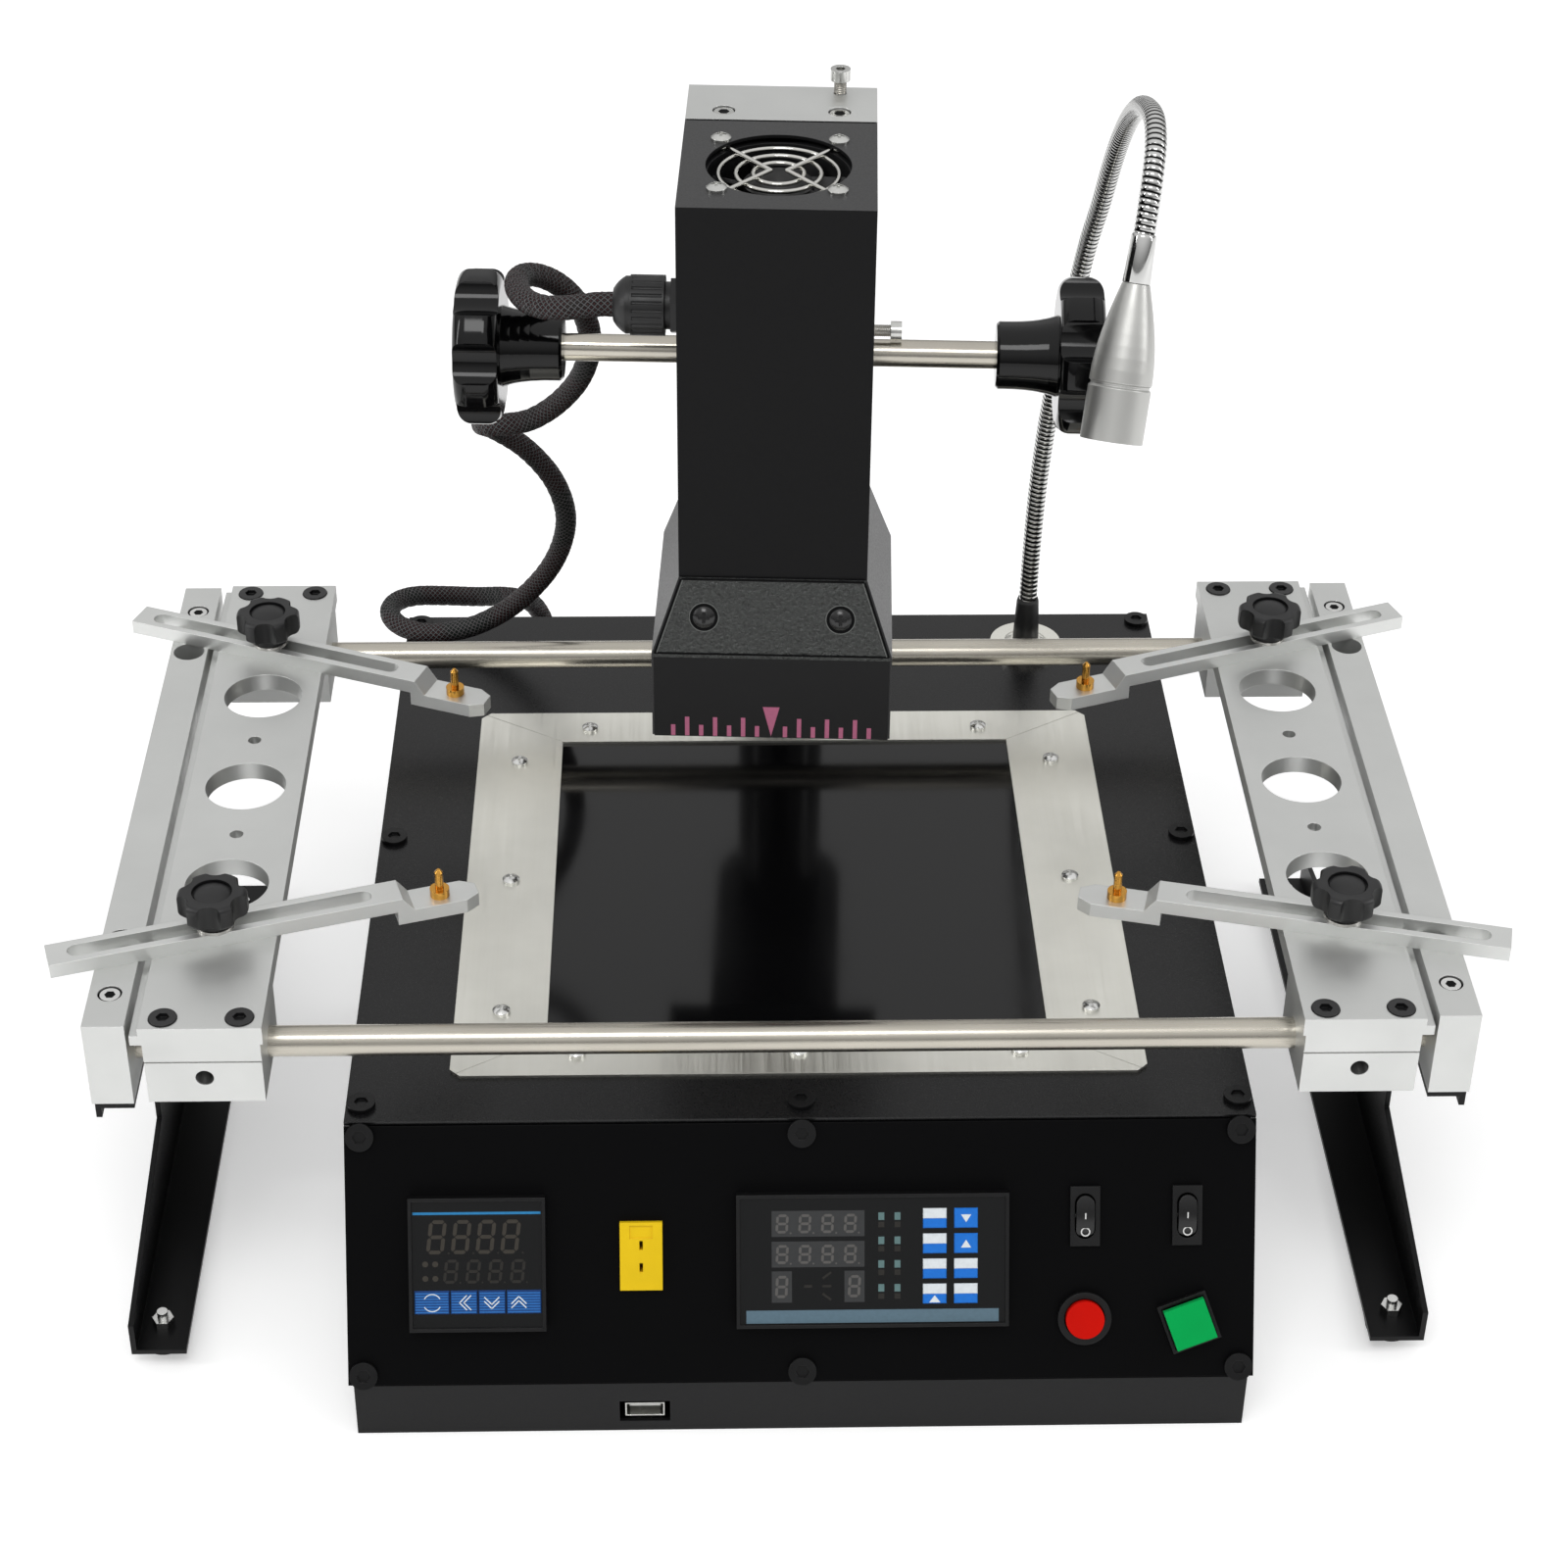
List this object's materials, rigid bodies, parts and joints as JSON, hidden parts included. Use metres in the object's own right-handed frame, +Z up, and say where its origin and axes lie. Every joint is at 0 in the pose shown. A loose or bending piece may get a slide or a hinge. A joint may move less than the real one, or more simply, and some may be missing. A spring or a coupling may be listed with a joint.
{
  "type": "bga rework station",
  "caption": "Bench rework station: cabinet with glass-topped heater and control panel, lifting heater head on a column, gooseneck lamp, sliding board stand with slotted arms.",
  "frame": {"origin": "on the underside of the cabinet's tray, below the middle of the top plate", "axes": "+X to the right seen from the control panel, +Y to the back, +Z up"},
  "size_m": [0.512, 0.44, 0.4145],
  "materials": {
    "black_paint": "fine satin powder coat",
    "black_oxide": "black oxide",
    "heater_ceramic": "matt",
    "black_glass": "gloss black",
    "polished_steel": "polished",
    "neck_chrome": "ribbed chrome",
    "black_plastic": "fine matt",
    "knob_plastic": "gloss",
    "yellow_plastic": "satin",
    "red_plastic": "gloss",
    "green_plastic": "translucent",
    "aluminium": "fine sandblasted anodised",
    "pin_brass": "turned",
    "foot_rubber": "matt",
    "cable_braid": "woven sleeve"
  },
  "bodies": {
    "base": {"base_tray": "black_paint", "top_plate": "black_paint", "front_panel": "black_paint", "black_screws": "black_oxide", "lower_heater": "heater_ceramic", "heater_glass": "black_glass", "heater_frame": "polished_steel", "steel_screws": "polished_steel", "controllers": "black_plastic", "sensor_socket": "yellow_plastic", "usb_port": "polished_steel", "switch_bezels": "black_plastic", "rear_connectors": "black_plastic", "column": "black_paint", "head_arm": "black_paint", "lift_rack": "polished_steel", "guide_rods": "polished_steel", "end_bars": "aluminium", "legs": "black_paint", "feet": "foot_rubber", "lamp_base": "polished_steel", "cable_lower": "cable_braid"},
    "lamp": {"gooseneck": "neck_chrome", "lamp_head": "aluminium"},
    "head": {"head_carriage": "aluminium", "head_cover": "black_paint", "heater_hood": "black_paint", "head_screws": "polished_steel", "fan_frame": "black_plastic", "fan_guard": "polished_steel", "upper_heater": "heater_ceramic", "head_gland": "black_plastic", "cable_upper": "cable_braid"},
    "fan": {"fan_rotor": "black_plastic"},
    "lift_shaft": {"pinion_shaft": "polished_steel", "lift_knobs": "knob_plastic"},
    "left_carriage": {"carriage_left": "aluminium", "carriage_left_screws": "black_oxide"},
    "right_carriage": {"carriage_right": "aluminium", "carriage_right_screws": "black_oxide"},
    "front_left_washer": {"washer_front_left": "polished_steel"},
    "front_left_arm": {"arm_front_left": "aluminium", "pin_front_left": "pin_brass"},
    "front_left_knob": {"knob_front_left": "knob_plastic"},
    "front_right_washer": {"washer_front_right": "polished_steel"},
    "front_right_arm": {"arm_front_right": "aluminium", "pin_front_right": "pin_brass"},
    "front_right_knob": {"knob_front_right": "knob_plastic"},
    "rear_left_washer": {"washer_rear_left": "polished_steel"},
    "rear_left_arm": {"arm_rear_left": "aluminium", "pin_rear_left": "pin_brass"},
    "rear_left_knob": {"knob_rear_left": "knob_plastic"},
    "rear_right_washer": {"washer_rear_right": "polished_steel"},
    "rear_right_arm": {"arm_rear_right": "aluminium", "pin_rear_right": "pin_brass"},
    "rear_right_knob": {"knob_rear_right": "knob_plastic"},
    "light_rocker": {"light_switch_rocker": "black_plastic"},
    "fan_rocker": {"fan_switch_rocker": "black_plastic"},
    "stop_button": {"stop_button_cap": "red_plastic"},
    "start_button": {"start_button_cap": "green_plastic"}
  },
  "joints": [
    {"name": "head_lift", "type": "slide", "parent": "base", "child": "head", "axis": [0, 0, 1], "range_m": [-0.014, 0.06]},
    {"name": "pinion_turn", "type": "hinge", "parent": "head", "child": "lift_shaft", "pos_m": [-0.00513, 0.02112, 0.3115], "axis": [0.9989, -0.0471, 0], "range_deg": [-480, 115]},
    {"name": "fan_spin", "type": "hinge", "parent": "head", "child": "fan", "pos_m": [-0.00737, -0.02633, 0.395], "axis": [0, 0, 1], "continuous": true},
    {"name": "lamp_swing", "type": "hinge", "parent": "base", "child": "lamp", "pos_m": [0.105, 0.14, 0.1125], "axis": [0, 0, 1], "range_deg": [0, 75]},
    {"name": "left_carriage_slide", "type": "slide", "parent": "base", "child": "left_carriage", "axis": [1, 0, 0], "range_m": [0, 0.1]},
    {"name": "right_carriage_slide", "type": "slide", "parent": "base", "child": "right_carriage", "axis": [-1, 0, 0], "range_m": [0, 0.1]},
    {"name": "front_left_arm_swing", "type": "hinge", "parent": "left_carriage", "child": "front_left_washer", "pos_m": [-0.2045, -0.127, 0.1661], "axis": [0, 0, 1], "range_deg": [-12, 12]},
    {"name": "front_left_arm_slide", "type": "slide", "parent": "front_left_washer", "child": "front_left_arm", "axis": [0.9563, 0.2924, 0], "range_m": [-0.03, 0.04]},
    {"name": "front_left_knob_turn", "type": "hinge", "parent": "left_carriage", "child": "front_left_knob", "pos_m": [-0.2045, -0.127, 0.17], "axis": [0, 0, 1], "continuous": true},
    {"name": "front_right_arm_swing", "type": "hinge", "parent": "right_carriage", "child": "front_right_washer", "pos_m": [0.1915, -0.127, 0.1661], "axis": [0, 0, 1], "range_deg": [-12, 12]},
    {"name": "front_right_arm_slide", "type": "slide", "parent": "front_right_washer", "child": "front_right_arm", "axis": [0.9715, -0.2368, 0], "range_m": [-0.04, 0.03]},
    {"name": "front_right_knob_turn", "type": "hinge", "parent": "right_carriage", "child": "front_right_knob", "pos_m": [0.1915, -0.127, 0.17], "axis": [0, 0, 1], "continuous": true},
    {"name": "rear_left_arm_swing", "type": "hinge", "parent": "left_carriage", "child": "rear_left_washer", "pos_m": [-0.2045, 0.056, 0.1661], "axis": [0, 0, 1], "range_deg": [-12, 12]},
    {"name": "rear_left_arm_slide", "type": "slide", "parent": "rear_left_washer", "child": "rear_left_arm", "axis": [0.9311, -0.3649, 0], "range_m": [-0.03, 0.04]},
    {"name": "rear_left_knob_turn", "type": "hinge", "parent": "left_carriage", "child": "rear_left_knob", "pos_m": [-0.2045, 0.056, 0.17], "axis": [0, 0, 1], "continuous": true},
    {"name": "rear_right_arm_swing", "type": "hinge", "parent": "right_carriage", "child": "rear_right_washer", "pos_m": [0.1915, 0.056, 0.1661], "axis": [0, 0, 1], "range_deg": [-12, 12]},
    {"name": "rear_right_arm_slide", "type": "slide", "parent": "rear_right_washer", "child": "rear_right_arm", "axis": [0.9409, 0.3387, 0], "range_m": [-0.04, 0.03]},
    {"name": "rear_right_knob_turn", "type": "hinge", "parent": "right_carriage", "child": "rear_right_knob", "pos_m": [0.1915, 0.056, 0.17], "axis": [0, 0, 1], "continuous": true},
    {"name": "light_rocker_tilt", "type": "hinge", "parent": "base", "child": "light_rocker", "pos_m": [0.1, -0.18319, 0.0761], "axis": [1, 0, 0], "range_deg": [-14, 0]},
    {"name": "fan_rocker_tilt", "type": "hinge", "parent": "base", "child": "fan_rocker", "pos_m": [0.1362, -0.18319, 0.0761], "axis": [1, 0, 0], "range_deg": [-14, 0]},
    {"name": "stop_button_press", "type": "slide", "parent": "base", "child": "stop_button", "axis": [0, -0.8771, 0.4803], "range_m": [-0.0025, 0], "stiffness_N_per_m": 600},
    {"name": "start_button_press", "type": "slide", "parent": "base", "child": "start_button", "axis": [0, -0.8771, 0.4803], "range_m": [-0.002, 0], "stiffness_N_per_m": 600}
  ],
  "couplings": [
    {"joint": "pinion_turn", "follows": "head_lift", "rad_per_m": -138.89}
  ]
}
